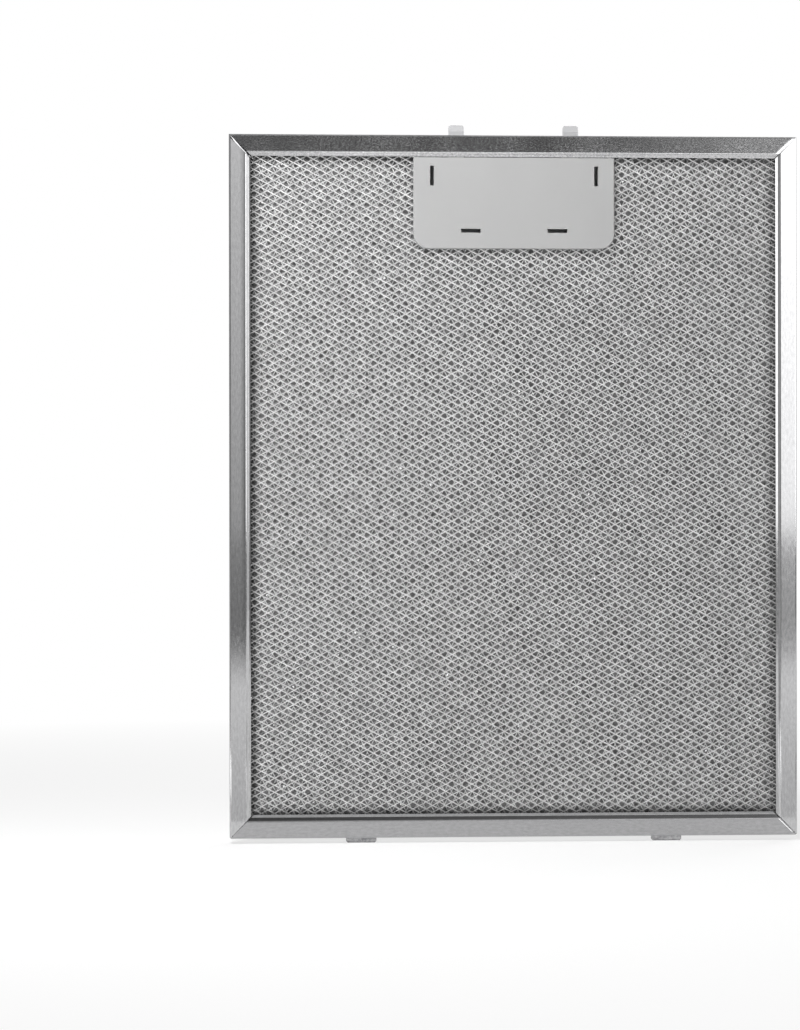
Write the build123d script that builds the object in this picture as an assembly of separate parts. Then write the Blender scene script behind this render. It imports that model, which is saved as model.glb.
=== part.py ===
from build123d import *
import math
import os

# Grease filter cassette of an under cabinet range hood.
# Millimetres. X runs across the cassette, Z from its lower to its upper edge and Y through it.
# The motor side faces -Y, the cook's side with the finger recess faces +Y.
# The origin is the middle of the lower edge, on the outside of the frame.

# ---------------------------------------------------------------- driving dimensions
# Cassette
filter_width = 260.0          # outside, across the side rails
filter_height = 320.0         # outside, lower edge to upper edge
frame_depth = 9.0             # over both faces of the rails

# Aluminium strip, roll formed into a stepped channel
sheet = 0.5                   # strip thickness
bend_radius = 0.8             # outside of each bend
rail_face = 7.5               # flat face, from the outer edge to the step
step_run = 1.7                # width of the sloped step
step_depth = 1.7              # how far the lip lies below the face
lip_width = 1.5               # flat lip that holds the mesh
mitre_gap_outer = 0.1         # slit between two rails at the outer edge
mitre_gap_lip = 0.5           # the same slit at the end of the lip
fold_radius = 1.0             # outside of the fold at the lower corners
relief_diameter = 0.5         # relief hole at the outer end of a folded mitre
relief_inset = 1.3            # its centre, from both outer edges

# Corner keys, clinched inside the upper corners
key_thickness = 0.8
key_leg = 18.0
key_depth = 6.4               # through the cassette
clinch_length = 4.0           # along the rail
clinch_width = 2.4
clinch_inset = 11.0           # its centre, from the outer corner
clinch_sink = 0.35            # dent on the outside

# Lower lugs
lug_spacing = 140.0
lug_width = 13.8
lug_reach = 2.4               # below the lower edge
lug_depth = 2.8               # through the cassette
lug_corner = 0.7
lug_bevel = 0.5
lug_foot_width = 20.0
lug_foot_thickness = 0.9

# Mesh pack
mesh_long_way = 6.0           # diamond of the face mesh, along X
mesh_short_way = 3.2          # diamond of the face mesh, along Z
strand_width = 0.7
strand_thickness = 0.4
inner_layers = 7
layer_gap = 0.02
pack_edge_gap = 1.4           # from the inside of the web to the mesh
pack_notch_gap = 1.1          # from the housing's skirt to the mesh

# Handle: back plate with its snap arms, and housing
plate_width = 92.0
plate_height = 41.7
plate_drop = 10.2             # upper edge of the plate, below the cassette's edge
plate_thickness = 1.4
plate_corner_radius = 6.8
plate_edge_radius = 0.35
rim_width = 1.2
front_width = 96.0
front_height = 43.7
front_thickness = 1.5
side_slot_offset = 37.6       # from the middle of the plate
side_slot_drop = 8.4          # centre, below the plate's upper edge
lower_slot_offset = 19.8
lower_slot_drop = 33.4
slot_length = 9.0             # window beside each snap arm
slot_width = 1.8
arm_width = 8.0
arm_thickness = 0.9
arm_length = 4.0              # from the inner side of the plate
barb_length = 0.8
barb_reach = 0.7              # from the arm, into a pocket of the skirt
barb_lead = 0.3
pocket_depth = 0.7
wall = 1.2                    # skirt of the housing
recess_half_width = 26.0
recess_lift = 1.1             # lower wall of the recess, above the lower windows
recess_height = 22.6
recess_corner_radius = 4.0
recess_wall = 1.0
recess_floor_depth = 5.9      # below the face of the housing

# Latch slider and its springs
latch_travel = 5.0
finger_spacing = 52.4
finger_width = 6.8
finger_thickness = 3.0
finger_reach = 4.8            # above the upper edge
finger_corner = 0.9
finger_bevel = 1.4
bar_end_gap = 3.5             # from the bar's ends to the skirt
bar_height = 8.0
bar_drop = 16.0               # upper side of the bar, below the cassette's edge
pull_end_gap = 1.6            # from the pull's ends to the sides of the recess
pull_height = 9.0
pull_drop = 4.0               # upper side of the pull, below the bar's
pull_sink = 0.6               # front of the pull, below the face of the housing
grip_ribs = 3
grip_rib_width = 0.8
grip_rib_pitch = 2.4
spring_length = 14.0          # as fitted
spring_diameter = 4.0         # middle of the wire
spring_wire = 0.35
spring_turns = 6
spring_chords = 12            # straight chords to a turn
spring_post_diameter = 2.9
spring_post_height = 3.0

# Clearances
fit_gap = 0.05                # faces that are pressed or clipped together
slide_gap = 0.2               # faces that slide, each side
slot_gap = 0.25               # round a lug, a barb or a finger in its slot

# ---------------------------------------------------------------- derived sizes
half_depth = frame_depth / 2
lip_face = half_depth - step_depth
lip_back = lip_face - sheet
lip_end = rail_face + step_run + lip_width
pack_half_width = filter_width / 2 - sheet - pack_edge_gap
pack_bottom = sheet + pack_edge_gap
pack_top = filter_height - sheet - pack_edge_gap
face_mesh_depth = 2 * strand_thickness
inner_depth = 2 * lip_back - 2 * face_mesh_depth - (inner_layers + 3) * layer_gap
inner_thickness = inner_depth / inner_layers

plate_top = filter_height - plate_drop
plate_back = lip_face + fit_gap
side_slot_z = plate_top - side_slot_drop
lower_slot_z = plate_top - lower_slot_drop
arm_end = arm_length - plate_back
arm_outside = slot_width / 2 + arm_thickness

skirt_inside = side_slot_offset + arm_outside + slide_gap
skirt_outside = skirt_inside + wall
skirt_floor = lower_slot_z - arm_outside - slide_gap
skirt_bottom = skirt_floor - wall
side_wall_top = side_slot_z + arm_width / 2 + slot_gap + wall
notch_half_width = skirt_outside + pack_notch_gap
notch_bottom = skirt_bottom - pack_notch_gap
recess_bottom = lower_slot_z + slot_width / 2 + recess_lift
recess_outside = recess_half_width + recess_wall
housing_face = plate_back + front_thickness
recess_floor = housing_face - recess_floor_depth

bar_top = filter_height - bar_drop
bar_bottom = bar_top - bar_height
bar_half_width = skirt_inside - bar_end_gap
bar_back = recess_floor + slide_gap
bar_front = plate_back - slide_gap
pull_top = bar_top - pull_drop
pull_front = housing_face - pull_sink
stop_bottom = bar_top + slide_gap
skirt_top = stop_bottom + wall
spring_offset = (recess_outside + skirt_inside) / 2
spring_seat = bar_bottom - spring_length


def seam(inset):
    """Distance from a rail's outer corner to its mitred end, at an inset from the outer edge."""
    gap = mitre_gap_outer + (mitre_gap_lip - mitre_gap_outer) * inset / lip_end
    return inset + gap / math.sqrt(2)


def rail_section():
    """Stepped channel: u from the outer edge inwards, v through the cassette."""
    step_angle = math.atan2(step_depth, step_run)
    shift = sheet * math.tan(step_angle / 2)
    step_end = rail_face + step_run
    outside = [(lip_end, lip_face), (step_end, lip_face), (rail_face, half_depth), (0, half_depth)]
    inside = [
        (lip_end, lip_back),
        (step_end - shift, lip_back),
        (rail_face - shift, half_depth - sheet),
        (sheet, half_depth - sheet),
    ]
    mirrored_outside = [(u, -v) for u, v in reversed(outside)]
    mirrored_inside = [(u, -v) for u, v in inside]
    outline = outside + mirrored_outside + mirrored_inside + list(reversed(inside))
    section = make_face(Polyline(*outline, close=True))
    wide = [outside[2], outside[3], inside[1]]
    tight = [outside[1], inside[2], inside[3]]
    for points, radius in ((wide, bend_radius), (tight, bend_radius - sheet)):
        for u, v in points:
            for side in (1, -1):
                corner = section.vertices().sort_by_distance((u, side * v, 0))[0]
                section = fillet(corner, radius)
    return section


def make_rail(length):
    """Mitred rail along +X from the origin, with its outer edge at z = 0 and its lips above."""
    across = Plane(origin=(0, 0, 0), x_dir=(0, 0, 1), z_dir=(1, 0, 0))
    channel = extrude(across * rail_section(), length)
    outside, inside = -sheet, lip_end + sheet
    corners = [
        (seam(outside), outside),
        (length - seam(outside), outside),
        (length - seam(inside), inside),
        (seam(inside), inside),
    ]
    trapezoid = make_face(Plane.XZ * Polyline(*corners, close=True))
    return channel & extrude(trapezoid, frame_depth, both=True)


def prism(outline, low, high):
    """Solid from an XZ outline, between two depths along Y."""
    return extrude(Plane.XZ.offset(-high) * outline, high - low)


def block(x_range, y_range, z_range):
    """Box between two corners, given as ranges."""
    size = [high - low for low, high in (x_range, y_range, z_range)]
    centre = [(high + low) / 2 for low, high in (x_range, y_range, z_range)]
    return Pos(*centre) * Box(*size)


def clinch_place(side, upright):
    """Frame for the clinch of one rail: centre on the web's outside, Z pointing inwards."""
    if upright:
        centre = (side * filter_width / 2, 0, filter_height - clinch_inset)
        return Plane(centre, x_dir=(0, 0, 1), z_dir=(-side, 0, 0))
    centre = (side * (filter_width / 2 - clinch_inset), 0, filter_height)
    return Plane(centre, x_dir=(1, 0, 0), z_dir=(0, 0, -1))


def press_clinch(rail, place):
    """Lanced stitch in a rail's web: a dent outside and the boss that it raises inside."""
    dent = Pos(0, 0, clinch_sink / 2) * Box(clinch_length, clinch_width, clinch_sink)
    height = sheet + key_thickness - clinch_sink
    boss = Pos(0, 0, clinch_sink + height / 2) * Box(clinch_length, clinch_width, height)
    return rail - place.location * dent + place.location * boss


def folded_corner(side):
    """Web round a lower corner of the folded strip, between the bends of its two faces."""
    middle = filter_width / 2 - fold_radius
    ring = Pos(side * middle, fold_radius) * (Circle(fold_radius) - Circle(fold_radius - sheet))
    quadrant = Pos(side * (middle + fold_radius / 2), fold_radius / 2) * Rectangle(fold_radius, fold_radius)
    flat = half_depth - bend_radius
    return prism(ring & quadrant, -flat, flat)


def make_frame_strip():
    """Left, lower and right rails: one strip, notched and folded at the lower corners."""
    left = Pos(-filter_width / 2, 0, filter_height) * Rot(0, 90, 0) * make_rail(filter_height)
    right = Pos(filter_width / 2, 0, 0) * Rot(0, -90, 0) * make_rail(filter_height)
    lower = Pos(-filter_width / 2, 0, 0) * make_rail(filter_width)

    outline = Pos(0, filter_height / 2) * Rectangle(filter_width, filter_height)
    outline = fillet(outline.vertices().sort_by(Axis.Y)[:2], fold_radius)
    strip = (left + right + lower) & prism(outline, -half_depth, half_depth)

    slot_x = lug_width / 2 + slot_gap
    slot_y = lug_depth / 2 + slot_gap
    for side in (-1, 1):
        strip += folded_corner(side)
        relief = Pos(side * (filter_width / 2 - relief_inset), relief_inset) * Circle(relief_diameter / 2)
        strip -= prism(relief, -half_depth, half_depth)
        lug_x = side * lug_spacing / 2
        strip -= block((lug_x - slot_x, lug_x + slot_x), (-slot_y, slot_y), (-sheet, 2 * sheet))
        strip = press_clinch(strip, clinch_place(side, upright=True))
    return strip


def make_top_rail():
    """Upper rail, which closes the frame and has the two slots for the latch fingers."""
    rail = Pos(filter_width / 2, 0, filter_height) * Rot(0, 180, 0) * make_rail(filter_width)
    slot_x = finger_width / 2 + slot_gap
    slot_y = finger_thickness / 2 + slot_gap
    for side in (-1, 1):
        finger_x = side * finger_spacing / 2
        through = (filter_height - 2 * sheet, filter_height + sheet)
        rail -= block((finger_x - slot_x, finger_x + slot_x), (-slot_y, slot_y), through)
        rail = press_clinch(rail, clinch_place(side, upright=False))
    return rail


def make_corner_key(side):
    """Angle inside an upper corner; both rails are clinched to it."""
    outer_x = filter_width / 2 - sheet - fit_gap
    outer_z = filter_height - sheet - fit_gap
    inner_x = outer_x - key_thickness
    inner_z = outer_z - key_thickness
    points = [
        (outer_x, outer_z),
        (outer_x, outer_z - key_leg),
        (inner_x, outer_z - key_leg),
        (inner_x, inner_z),
        (outer_x - key_leg, inner_z),
        (outer_x - key_leg, outer_z),
    ]
    outline = make_face(Polyline(*points, close=True))
    outline = fillet(outline.vertices().sort_by_distance((outer_x, outer_z, 0))[0], key_thickness)
    key = prism(outline, -key_depth / 2, key_depth / 2)
    hole = Box(clinch_length + 2 * fit_gap, clinch_width + 2 * fit_gap, 2 * (sheet + 2 * key_thickness))
    for upright in (True, False):
        key -= clinch_place(1, upright).location * hole
    return key if side > 0 else mirror(key, about=Plane.YZ)


def make_lug(side):
    """Lug at the lower edge: a foot inside the channel and a bevelled tongue through its web."""
    tongue_x = lug_width / 2
    tongue_top = sheet + fit_gap + lug_foot_thickness
    tongue = block((-tongue_x, tongue_x), (-lug_depth / 2, lug_depth / 2), (-lug_reach, tongue_top))
    tongue = chamfer(tongue.edges().filter_by(Axis.Y).group_by(Axis.Z)[0], lug_corner)
    tip = tongue.edges().filter_by_position(Axis.Z, -lug_reach, -fit_gap)
    tongue = chamfer(tip.filter_by(lambda edge: abs(edge.center().Y) > lug_depth / 2 - fit_gap), lug_bevel)
    foot_x = lug_foot_width / 2
    foot_y = key_depth / 2
    foot = block((-foot_x, foot_x), (-foot_y, foot_y), (tongue_top - lug_foot_thickness, tongue_top))
    return Pos(side * lug_spacing / 2, 0, 0) * (tongue + foot)


def strand_spans(offset, slope, margin):
    """X ranges of the line z = offset + slope * x that lie on the pack and clear of its notch."""
    reach = sorted(((pack_bottom + margin - offset) / slope, (pack_top - margin - offset) / slope))
    low = max(reach[0], -pack_half_width + margin)
    high = min(reach[1], pack_half_width - margin)
    crossing = (notch_bottom - margin - offset) / slope
    notch_low = -notch_half_width - margin
    notch_high = notch_half_width + margin
    if slope > 0:
        notch_low = max(notch_low, crossing)
    else:
        notch_high = min(notch_high, crossing)
    if notch_low >= notch_high:
        spans = [(low, high)]
    else:
        spans = [(low, min(high, notch_low)), (max(low, notch_high), high)]
    shortest = 2 * strand_width
    return [(start, end) for start, end in spans if end - start > shortest]


def make_face_mesh(outer_y, inward):
    """Two crossing sets of strands, a diamond lattice, with its outer side at outer_y."""
    pitch_slope = mesh_short_way / mesh_long_way
    angle = math.degrees(math.atan(pitch_slope))
    margin = strand_width
    rise = pitch_slope * pack_half_width
    first = math.floor((pack_bottom - rise) / mesh_short_way)
    last = math.ceil((pack_top + rise) / mesh_short_way)
    strands = []
    for layer, slope in enumerate((pitch_slope, -pitch_slope)):
        middle_y = outer_y + inward * strand_thickness * (layer + 0.5)
        for index in range(first, last + 1):
            offset = index * mesh_short_way
            for start, end in strand_spans(offset, slope, margin):
                length = (end - start) / math.cos(math.radians(angle))
                middle_x = (start + end) / 2
                place = Pos(middle_x, middle_y, offset + slope * middle_x)
                turn = Rot(0, -math.copysign(angle, slope), 0)
                strands.append(place * turn * Box(length, strand_thickness, strand_width))
    return Compound(children=strands)


def pack_outline():
    """Outline of a mesh layer, open at the top where the handle passes through."""
    x = pack_half_width
    notch = notch_half_width
    points = [
        (-x, pack_bottom),
        (x, pack_bottom),
        (x, pack_top),
        (notch, pack_top),
        (notch, notch_bottom),
        (-notch, notch_bottom),
        (-notch, pack_top),
        (-x, pack_top),
    ]
    return make_face(Polyline(*points, close=True))


def make_inner_mesh(index):
    """One of the foil mesh layers between the face meshes, as a closed sheet."""
    start = -lip_back + face_mesh_depth + 2 * layer_gap + index * (inner_thickness + layer_gap)
    return prism(pack_outline(), start, start + inner_thickness)


def handle_outline(width, height, corner_radius):
    """Rectangle that hangs from the plate's upper edge, with rounded lower corners."""
    outline = Pos(0, plate_top - height / 2) * Rectangle(width, height)
    return fillet(outline.vertices().sort_by(Axis.Y)[:2], corner_radius)


def handle_rim(width, height, corner_radius):
    """Narrow band along the sides and foot of that outline, which presses on the mesh."""
    outer = handle_outline(width, height, corner_radius)
    core_height = height - rim_width
    core = handle_outline(width - 2 * rim_width, core_height, corner_radius - rim_width)
    below_lip = Pos(0, filter_height - lip_end - slide_gap - height / 2) * Rectangle(2 * width, height)
    return (outer - core) & below_lip


def slot_places():
    """Centre of each window in the back plate, and the way from it to its snap arm."""
    places = []
    for side in (-1, 1):
        places.append((side * side_slot_offset, side_slot_z, (side, 0)))
        places.append((side * lower_slot_offset, lower_slot_z, (0, -1)))
    return places


def slot_face(x, z, way, length, start, width):
    """Rectangle beside a window's centre: its width begins at a distance along the way."""
    way_x, way_z = way
    size = (width, length) if way_x else (length, width)
    middle = start + width / 2
    return Pos(x + way_x * middle, z + way_z * middle) * Rectangle(*size)


def make_arm(x, z, way):
    """Snap arm on the inner side of the plate, beside a window, with a barb at its end."""
    tongue = slot_face(x, z, way, arm_width, slot_width / 2, arm_thickness)
    barb = slot_face(x, z, way, arm_width, slot_width / 2, arm_thickness + barb_reach)
    head = prism(barb, arm_end - barb_length, arm_end)
    beyond = (x + way[0] * 2 * arm_outside, arm_end, z + way[1] * 2 * arm_outside)
    lead = head.faces().sort_by(Axis.Y)[-1].edges().sort_by_distance(beyond)[0]
    return prism(tongue, -plate_back, arm_end) + chamfer(lead, barb_lead)


def make_back_plate():
    """Cover on the motor side, clipped to the housing by four snap arms beside its windows."""
    outer_y = -plate_back - plate_thickness
    plate = prism(handle_outline(plate_width, plate_height, plate_corner_radius), outer_y, -plate_back)
    plate = chamfer(plate.faces().sort_by(Axis.Y)[0].edges(), plate_edge_radius)
    rim = handle_rim(plate_width, plate_height, plate_corner_radius)
    plate += prism(rim, -plate_back, -plate_back + sheet - fit_gap)
    for x, z, way in slot_places():
        plate -= prism(slot_face(x, z, way, slot_length, -slot_width / 2, slot_width), outer_y, 0)
        plate += make_arm(x, z, way)
    return plate


def make_skirt():
    """Walls of the housing that pass through the mesh, with a pocket for each snap arm's barb."""
    low = -plate_back + fit_gap
    skirt = block((-skirt_outside, skirt_outside), (low, plate_back), (skirt_bottom, skirt_floor))
    for side in (-1, 1):
        x_range = sorted((side * skirt_inside, side * skirt_outside))
        skirt += block(x_range, (low, plate_back), (skirt_bottom, side_wall_top))
    pocket_y = (arm_end - barb_length - fit_gap, arm_end + slot_gap)
    for x, z, way in slot_places():
        pocket = slot_face(x, z, way, arm_width + 2 * slot_gap, arm_outside, slide_gap + pocket_depth)
        skirt -= prism(pocket, *pocket_y)
    return skirt


def make_recess():
    """Floor, side walls and lower wall of the finger recess, below the slider."""
    low = recess_floor - recess_wall
    recess = block((-recess_outside, recess_outside), (low, recess_floor), (recess_bottom, skirt_top))
    foot = (recess_bottom - recess_wall, recess_bottom)
    recess += block((-recess_outside, recess_outside), (low, plate_back), foot)
    wall_top = bar_bottom - latch_travel - slide_gap
    for side in (-1, 1):
        x_range = sorted((side * recess_half_width, side * recess_outside))
        recess += block(x_range, (low, plate_back), (recess_bottom, wall_top))
    return recess


def spring_post(side, seat_z, upwards):
    """Round post that keeps a spring in place, from its seat."""
    place = Plane((side * spring_offset, 0, seat_z), z_dir=(0, 0, 1 if upwards else -1))
    return Solid.make_cylinder(spring_post_diameter / 2, spring_post_height, place)


def make_housing():
    """Moulded housing on the cook's side: face, skirt, finger recess and spring seats."""
    outline = handle_outline(front_width, front_height, plate_corner_radius)
    body = prism(outline, plate_back, housing_face)
    body = chamfer(body.faces().sort_by(Axis.Y)[-1].edges(), plate_edge_radius)
    rim = handle_rim(front_width, front_height, plate_corner_radius)
    body += prism(rim, plate_back - sheet + fit_gap, plate_back)

    opening = Pos(0, recess_bottom + recess_height / 2) * Rectangle(2 * recess_half_width, recess_height)
    body -= prism(fillet(opening.vertices(), recess_corner_radius), plate_back, housing_face)
    body += make_skirt() + make_recess()

    low = -plate_back + fit_gap
    for side in (-1, 1):
        seat_x = sorted((side * recess_outside, side * skirt_inside))
        body += block(seat_x, (low, plate_back), (recess_bottom, spring_seat))
        body += spring_post(side, spring_seat, upwards=True)

    # Stop for the slider, between its two fingers
    stop_x = (finger_spacing - finger_width) / 2 - 2 * slide_gap
    body += block((-stop_x, stop_x), (recess_floor - recess_wall, plate_back), (stop_bottom, skirt_top))
    return body


def make_finger(side):
    """Latch finger: rounded corners, and a bevel towards the motor side that lets it snap in."""
    half = finger_thickness / 2
    top = filter_height + finger_reach
    length = top - bar_bottom
    front = Pos(side * finger_spacing / 2, bar_bottom + length / 2) * Rectangle(finger_width, length)
    front = fillet(front.vertices().sort_by(Axis.Y)[-2:], finger_corner)
    profile = [
        (-half, bar_bottom),
        (half, bar_bottom),
        (half, top),
        (finger_bevel - half, top),
        (-half, top - 2 * finger_bevel),
    ]
    across = extrude(Plane.YZ * make_face(Polyline(*profile, close=True)), filter_width, both=True)
    return prism(front, -half, half) & across


def make_slider():
    """Latch slider: bar, ribbed pull in the finger recess, two fingers and two spring posts."""
    bar_x = (-bar_half_width, bar_half_width)
    slider = block(bar_x, (bar_back, bar_front), (bar_bottom, bar_top))
    pull_half_width = recess_half_width - pull_end_gap
    pull_z = (pull_top - pull_height, pull_top)
    pull = block((-pull_half_width, pull_half_width), (bar_back, pull_front), pull_z)
    slider += chamfer(pull.faces().sort_by(Axis.Y)[-1].edges(), plate_edge_radius)

    rib_half_width = pull_half_width - grip_rib_pitch
    rib_y = (pull_front, pull_front + grip_rib_width / 2)
    for index in range(grip_ribs):
        z = pull_top - pull_height / 2 + (index - (grip_ribs - 1) / 2) * grip_rib_pitch
        z_range = (z - grip_rib_width / 2, z + grip_rib_width / 2)
        slider += block((-rib_half_width, rib_half_width), rib_y, z_range)

    for side in (-1, 1):
        slider += make_finger(side)
        slider += spring_post(side, bar_bottom, upwards=False)
    return slider


def make_spring(side):
    """Compression spring between its seat in the housing and the slider's bar."""
    end = spring_wire / 2 + fit_gap
    rise = (spring_length - 2 * end) / (spring_turns * spring_chords)
    points = []
    for chord in range(spring_turns * spring_chords + 1):
        angle = 2 * math.pi * chord / spring_chords
        x = side * spring_offset + spring_diameter / 2 * math.cos(angle)
        y = spring_diameter / 2 * math.sin(angle)
        points.append((x, y, spring_seat + end + chord * rise))
    wire = Polyline(*points)
    section = Plane(origin=wire @ 0, z_dir=wire % 0) * RegularPolygon(spring_wire / 2, 6)
    return sweep(section, path=wire, transition=Transition.RIGHT)


# ---------------------------------------------------------------- build and write
parts = {
    "frame_strip": make_frame_strip(),
    "top_rail": make_top_rail(),
    "corner_key_left": make_corner_key(-1),
    "corner_key_right": make_corner_key(1),
    "lug_left": make_lug(-1),
    "lug_right": make_lug(1),
    "back_face_mesh": make_face_mesh(-lip_back + layer_gap, 1),
    "front_face_mesh": make_face_mesh(lip_back - layer_gap, -1),
    "handle_back_plate": make_back_plate(),
    "handle_housing": make_housing(),
    "latch_slider": make_slider(),
    "latch_spring_left": make_spring(-1),
    "latch_spring_right": make_spring(1),
}
for layer in range(inner_layers):
    parts[f"inner_mesh_{layer + 1}"] = make_inner_mesh(layer)

os.makedirs("parts", exist_ok=True)
for name, shape in parts.items():
    export_step(shape, f"parts/{name}.step")
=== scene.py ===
import logging
import math
from dataclasses import dataclass
from enum import Enum
from typing import Any, Iterable, Sequence

import bmesh
import bpy
from mathutils import Euler, Matrix, Vector


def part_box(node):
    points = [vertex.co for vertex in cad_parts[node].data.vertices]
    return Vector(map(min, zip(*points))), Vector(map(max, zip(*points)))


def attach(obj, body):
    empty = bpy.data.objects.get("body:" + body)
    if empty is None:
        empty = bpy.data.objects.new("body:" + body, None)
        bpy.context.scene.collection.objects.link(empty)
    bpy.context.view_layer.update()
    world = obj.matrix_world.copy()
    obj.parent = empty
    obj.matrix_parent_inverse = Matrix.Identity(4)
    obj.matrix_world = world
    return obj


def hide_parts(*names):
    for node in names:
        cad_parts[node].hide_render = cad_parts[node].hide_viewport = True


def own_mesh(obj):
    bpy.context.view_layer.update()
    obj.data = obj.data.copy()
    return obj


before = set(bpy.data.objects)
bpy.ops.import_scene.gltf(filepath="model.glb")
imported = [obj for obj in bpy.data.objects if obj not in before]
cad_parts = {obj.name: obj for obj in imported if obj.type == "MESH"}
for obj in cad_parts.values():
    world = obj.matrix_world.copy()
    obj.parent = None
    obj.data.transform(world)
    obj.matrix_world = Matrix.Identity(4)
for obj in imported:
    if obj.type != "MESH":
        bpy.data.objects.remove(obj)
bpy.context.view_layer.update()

MM = 0.001
SEED = 11
CASSETTE = "cassette"  # body of every piece here; the latch slider is a dressed CAD node
CLOSE = 0.01  # two places nearer than this are one, in mm
TINY = 1e-6  # slack for rounding, in mm
NOISE_LOW, NOISE_HIGH = 0.3, 0.7  # nearly all of a noise lies between these
WHITE = (1.0, 1.0, 1.0, 1.0)
LOG = logging.getLogger("grease_filter")


class Way(Enum):
    """Direction that a grain or a row of strands follows."""

    ACROSS = "across"
    UPRIGHT = "upright"


class End(Enum):
    """How a rail ends at a corner of the frame."""

    MITRE = "mitre"
    FOLD = "fold"


class Foil(Enum):
    """Finish of a mesh layer, by how deep it lies in the pack; deeper layers get darker colours, as
    painted shade.
    """

    FACE = "face"
    SECOND = "second"
    THIRD = "third"
    INNER = "inner"


class Stand(Enum):
    """How a studio card stands, as turns about X, Y and Z in degrees."""

    FLAT = (0, 0, 0)
    FACING = (90, 0, 0)
    SIDEWAYS = (90, 0, 90)


def linear(code: str) -> tuple[float, float, float, float]:
    """Turn an sRGB colour into the linear one that shaders take.

    Args:
        code: Hex colour such as "#C0C0C0".

    Returns:
        Linear red, green, blue and an alpha of 1.
    """
    parts = [int(code[i : i + 2], 16) / 255 for i in (1, 3, 5)]
    red, green, blue = (p / 12.92 if p <= 0.04045 else ((p + 0.055) / 1.055) ** 2.4 for p in parts)
    return (red, green, blue, 1.0)


def add_node(
    tree: bpy.types.NodeTree, kind: str, inputs: dict[Any, Any] | None = None, **settings: Any
) -> bpy.types.Node:
    """Add a node with its settings, values and links.

    Args:
        tree: Node tree that gets the node.
        kind: Blender's name of the node type.
        inputs: Input name or number to a value, or to an output socket to link.
        **settings: Properties of the node itself.

    Returns:
        The new node.
    """
    node = tree.nodes.new(kind)
    for name, value in settings.items():
        setattr(node, name, value)
    for key, value in (inputs or {}).items():
        if isinstance(value, bpy.types.NodeSocket):
            tree.links.new(value, node.inputs[key])
        else:
            node.inputs[key].default_value = value
    return node


def new_material(name: str) -> tuple[bpy.types.Material, bpy.types.NodeTree, bpy.types.Node]:
    """Make an empty node material.

    Args:
        name: Name of the material.

    Returns:
        The material, its tree and its output node.
    """
    material = bpy.data.materials.new(name)
    material.use_nodes = True
    material.node_tree.nodes.clear()
    return material, material.node_tree, add_node(material.node_tree, "ShaderNodeOutputMaterial")


def grain_noise(
    tree: bpy.types.NodeTree, grain_mm: Sequence[float], detail: float, roughness: float = 0.5
) -> bpy.types.NodeSocket:
    """Lay a noise over the object with grains of a given size.

    Args:
        tree: Material tree.
        grain_mm: Size of one grain along X, Y and Z, in millimetres.
        detail: Number of finer noises added to it.
        roughness: How strong the finer ones are.

    Returns:
        The noise's value.
    """
    place = add_node(tree, "ShaderNodeTexCoord").outputs["Object"]
    scale = [1.0 / (size * MM) for size in grain_mm]
    over = add_node(tree, "ShaderNodeMapping", {"Vector": place, "Scale": scale}).outputs["Vector"]
    return add_node(
        tree,
        "ShaderNodeTexNoise",
        {"Vector": over, "Scale": 1.0, "Detail": detail, "Roughness": roughness},
    ).outputs["Fac"]


def two_tones(
    tree: bpy.types.NodeTree, noise: bpy.types.NodeSocket, dark: str, light: str
) -> bpy.types.NodeSocket:
    """Colour a noise evenly from one tone to another.

    Args:
        tree: Material tree.
        noise: The noise's value.
        dark: Hex colour where it is low.
        light: Hex colour where it is high.

    Returns:
        The colour.
    """
    share = add_node(
        tree, "ShaderNodeMapRange", {"Value": noise, "From Min": NOISE_LOW, "From Max": NOISE_HIGH}
    ).outputs["Result"]
    return add_node(
        tree, "ShaderNodeMix", {0: share, 6: linear(dark), 7: linear(light)}, data_type="RGBA"
    ).outputs[2]


@dataclass(frozen=True)
class RolledAluminium:
    """Mill-finish aluminium strip: satin, with a fine mottle drawn out along the rail."""

    name: str
    way: Way
    dark: str = "#B3B3B4"
    light: str = "#C5C5C6"
    mottle_mm: float = 0.9
    draw: float = 3.0  # how many times longer a grain is along the rail
    smooth: float = 0.05
    dull: float = 0.09
    grain_depth_mm: float = 0.003
    cloud_mm: float = 24.0  # patches of more and less sheen, as rolling oil leaves
    cloud_low: float = 0.12
    cloud_high: float = 0.4

    def material(self) -> bpy.types.Material:
        """Build the node material.

        Returns:
            The material.
        """
        material, tree, output = new_material(self.name)
        long_mm = self.mottle_mm * self.draw
        size = (self.mottle_mm, self.mottle_mm, long_mm)
        if self.way is Way.ACROSS:
            size = (long_mm, self.mottle_mm, self.mottle_mm)
        grain = grain_noise(tree, size, detail=3.0, roughness=0.6)
        cloud = grain_noise(tree, (self.cloud_mm,) * 3, detail=2.0)
        colour = two_tones(tree, grain, self.dark, self.light)
        mixed = add_node(
            tree, "ShaderNodeMath", {0: grain, 1: cloud}, operation="MULTIPLY"
        ).outputs[0]
        rough = add_node(
            tree,
            "ShaderNodeMapRange",
            {
                "Value": mixed,
                "From Min": self.cloud_low,
                "From Max": self.cloud_high,
                "To Min": self.smooth,
                "To Max": self.dull,
            },
        ).outputs["Result"]
        bump = add_node(
            tree,
            "ShaderNodeBump",
            {"Height": grain, "Strength": 1.0, "Distance": self.grain_depth_mm * MM},
        ).outputs["Normal"]
        shader = add_node(
            tree,
            "ShaderNodeBsdfPrincipled",
            {"Base Color": colour, "Metallic": 1.0, "Roughness": rough, "Normal": bump},
        )
        tree.links.new(shader.outputs["BSDF"], output.inputs["Surface"])
        return material


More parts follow.
